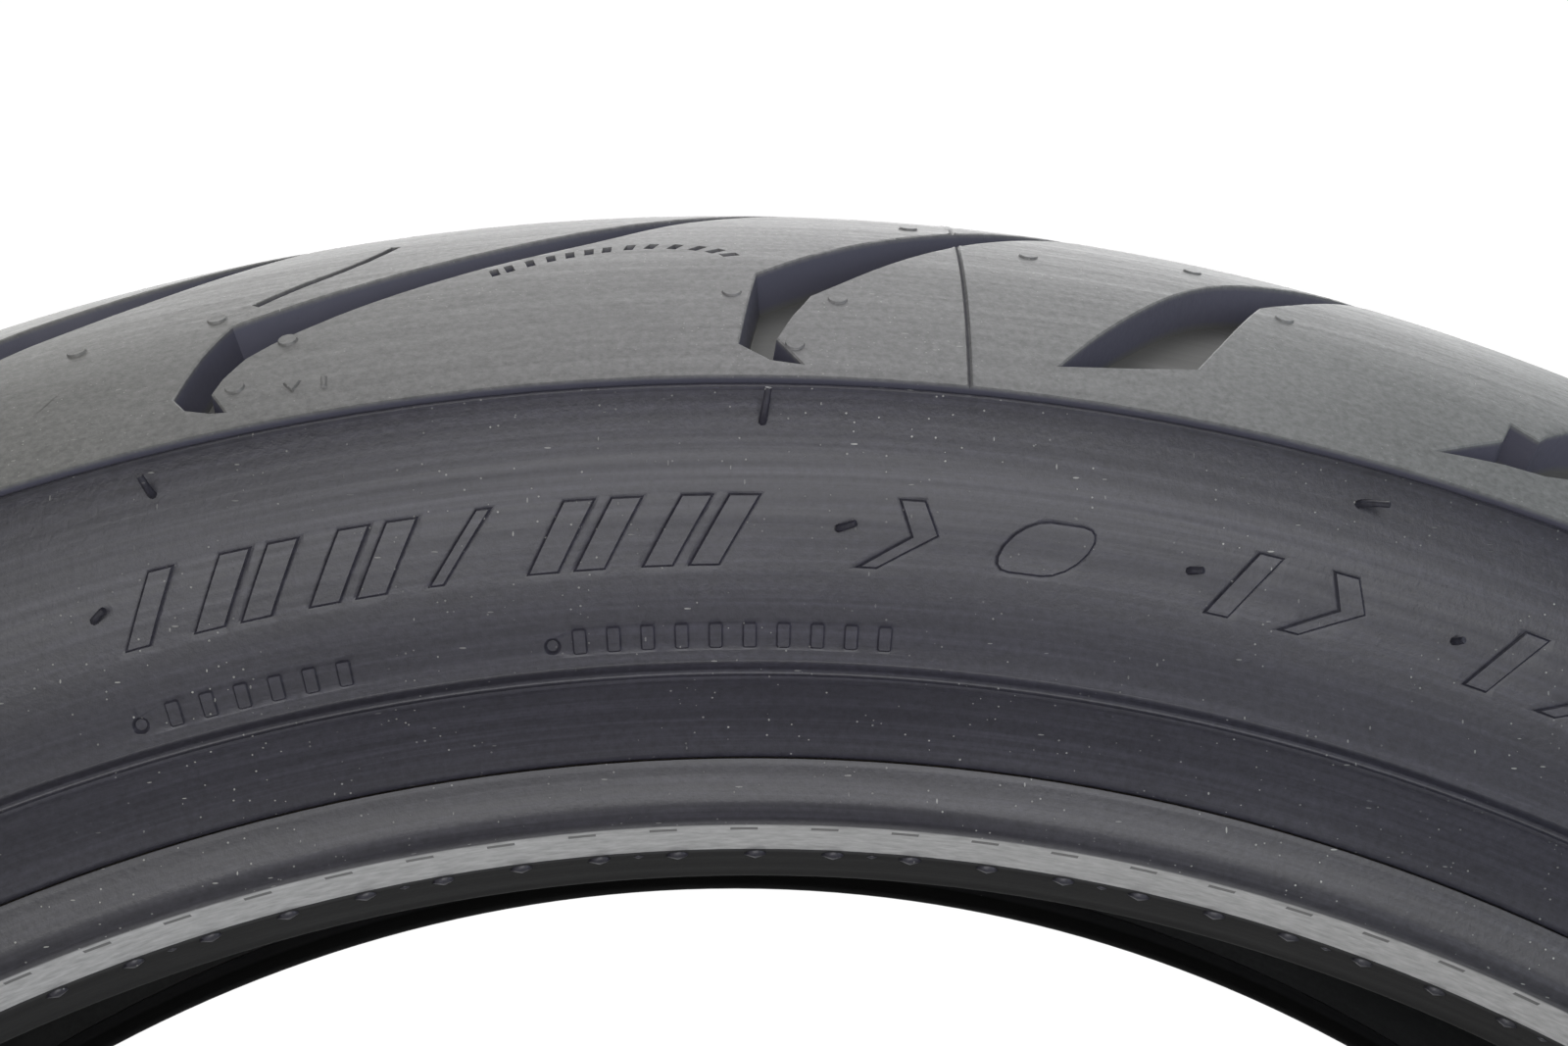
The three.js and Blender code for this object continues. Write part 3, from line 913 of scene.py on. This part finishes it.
def inner_layers(base, belt, ply, wire, liner):
    rings = {
        "inner_liner": (band(both_sides(inner_face), *LINER), liner, "liner_rubber"),
        "carcass_ply_inner": (band(both_sides(offset(to_bead, 1.75) + TURN_UP), -0.45, 0.45),
                              ply, "ply_cord"),
        "carcass_ply_outer": (band(both_sides(to_mid_sidewall), *PLY_OUTER), ply, "ply_cord"),
        "belt_spiral": (band(both_sides(inner_crown[:9]), *BELT), belt, "belt_steel"),
        "tread_base": (band(both_sides(inner_crown), *BASE), base, "base_rubber"),
    }
    for name, (section, material, slot) in rings.items():
        add_piece(name + "_ring", turned_ring(section, 160), material, slot, [name])
    core = [(224.3 + 1.3 * math.cos(a), 61.3 + 1.5 * math.sin(a))
            for a in (math.pi * k / 8 for k in range(16))]
    filler = [(226.1, 61.0), (226.1, 63.3), (231.0, 65.2), (236.0, 68.6), (233.0, 65.9)]
    cushion = band([inner_crown[9], inner_crown[10], inner_crown[11]], *BELT)
    for word, side in (("left", 1), ("right", -1)):
        add_piece(f"bead_core_ring_{word}", turned_ring(core, 160, side), wire, "bead_wire",
                  [f"bead_core_{word}"])
        add_piece(f"bead_filler_ring_{word}", turned_ring(filler, 160, side), base, "base_rubber",
                  [f"bead_filler_{word}"])
        add_piece(f"belt_edge_ring_{word}", turned_ring(cushion, 160, side), base, "base_rubber",
                  [f"belt_edge_cushion_{word}"])


# ------------------------------------------------------------------ room, light and camera
# How bright the room is by the height of the direction looked in (0 is level, 1 straight up).
ROOM_IN_FRONT = [(0.40, 0.7), (0.46, 0.6), (0.55, 0.5), (0.64, 0.25), (0.7, 0.02), (0.9, 0.1), (1.0, 0.3)]
ROOM_BEHIND = [(0.0, 1.02), (0.7, 1.02), (0.8, 0.8), (1.0, 0.3)]
LIGHTS = {
    # name: (place, direction it faces, width, height, watts)
    "window_panel": ((1.3, -0.9, 0.2), (-0.82, 0.57, 0.02), 0.6, 0.6, 2.2),
    "front_panel": ((0.0, -1.4, 0.15), (0, 1, 0), 1.0, 1.0, 8.5),
    "overhead_panel": ((0.0, 0.25, 1.7), (0, 0, -1), 1.4, 1.4, 11.0),
    "back_panel": ((0.0, 1.3, 1.0), (0, 0, -1), 1.6, 1.6, 20.0),
}


def brightness_ramp(tree, height, stops):
    return ramp(tree, height, [(place, grey(value)) for place, value in stops])


def room():
    world = bpy.data.worlds.new("white_room")
    world.use_nodes = True
    tree = world.node_tree
    way = tree.nodes.new("ShaderNodeTexCoord")
    parts = tree.nodes.new("ShaderNodeSeparateXYZ")
    link(tree, way.outputs["Generated"], parts.inputs[0])
    height = maths(tree, "MULTIPLY_ADD", parts.outputs["Z"], 0.5)
    height.node.inputs[2].default_value = 0.5
    behind = tree.nodes.new("ShaderNodeMapRange")
    behind.interpolation_type = "SMOOTHSTEP"
    behind.inputs["From Min"].default_value = 0.3
    behind.inputs["From Max"].default_value = 0.6
    link(tree, parts.outputs["Y"], behind.inputs["Value"])
    front = brightness_ramp(tree, height, ROOM_IN_FRONT)
    back = brightness_ramp(tree, height, ROOM_BEHIND)
    link(tree, mix(tree, behind.outputs[0], front, back), tree.nodes["Background"].inputs["Color"])
    bpy.context.scene.world = world


def stage():
    scene = bpy.context.scene
    scene.view_settings.view_transform = "Standard"
    room()
    bm = bmesh.new()
    bmesh.ops.create_circle(bm, cap_ends=True, segments=96, radius=3.0)
    bmesh.ops.translate(bm, verts=bm.verts, vec=(0, 0, cad_box[0][2] - 0.0005))
    mesh = bpy.data.meshes.new("floor")
    bm.to_mesh(mesh)
    bm.free()
    floor = bpy.data.objects.new("floor", mesh)
    scene.collection.objects.link(floor)
    paper, tree, shader = nodes_of("pale_floor", (0.74, 0.74, 0.74), 0.9)
    tone = noise(tree, object_place(tree), 0.002, 2.0)
    link(tree, ramp(tree, tone, [(0.3, grey(0.73)), (0.7, grey(0.76))]), shader.inputs["Base Color"])
    mesh.materials.append(paper)


def light_up():
    for name, (place, facing, width, height, watts) in LIGHTS.items():
        data = bpy.data.lights.new(name, "AREA")
        data.shape = "RECTANGLE"
        data.size = width
        data.size_y = height
        data.energy = watts
        if name == "window_panel":
            data.color = (0.62, 0.78, 1.0)
        lamp = bpy.data.objects.new(name, data)
        lamp.location = place
        lamp.rotation_euler = Vector(facing).to_track_quat("-Z", "Y").to_euler()
        bpy.context.scene.collection.objects.link(lamp)


def camera():
    data = bpy.data.cameras.new("camera")
    data.lens = 52.31
    data.sensor_width = 36.0
    data.clip_start = 0.01
    eye = bpy.data.objects.new("camera", data)
    eye.location = (-0.0090, -0.3366, 0.2094)
    pan = math.radians(2.535)
    tilt = math.radians(10.048)
    eye.rotation_euler = (math.pi / 2 + tilt, 0, -pan)
    bpy.context.scene.collection.objects.link(eye)
    bpy.context.scene.camera = eye


camera()
stage()
light_up()
tread(tread_rubber())
wall = sidewall_rubber()
rim = bead_rubber()
seat = seat_rubber()
toe = toe_rubber()
for word, side in (("left", 1), ("right", -1)):
    sidewall(word, side, wall)
    hairs(word, side, wall)
    bead(word, side, rim, seat, toe)
inner_layers(
    base_rubber(),
    cords("belt_steel", (0.45, 0.42, 0.36), (0.03, 0.03, 0.03), 0.0, 4.0, 0.8, 0.4),
    cords("ply_cord", (0.2, 0.15, 0.09), (0.03, 0.03, 0.03), 900.0, 0.0, 0.0, 0.85),
    cords("bead_wire", (0.5, 0.36, 0.18), (0.05, 0.04, 0.03), 0.0, 4.0, 1.0, 0.35),
    liner_rubber(),
)
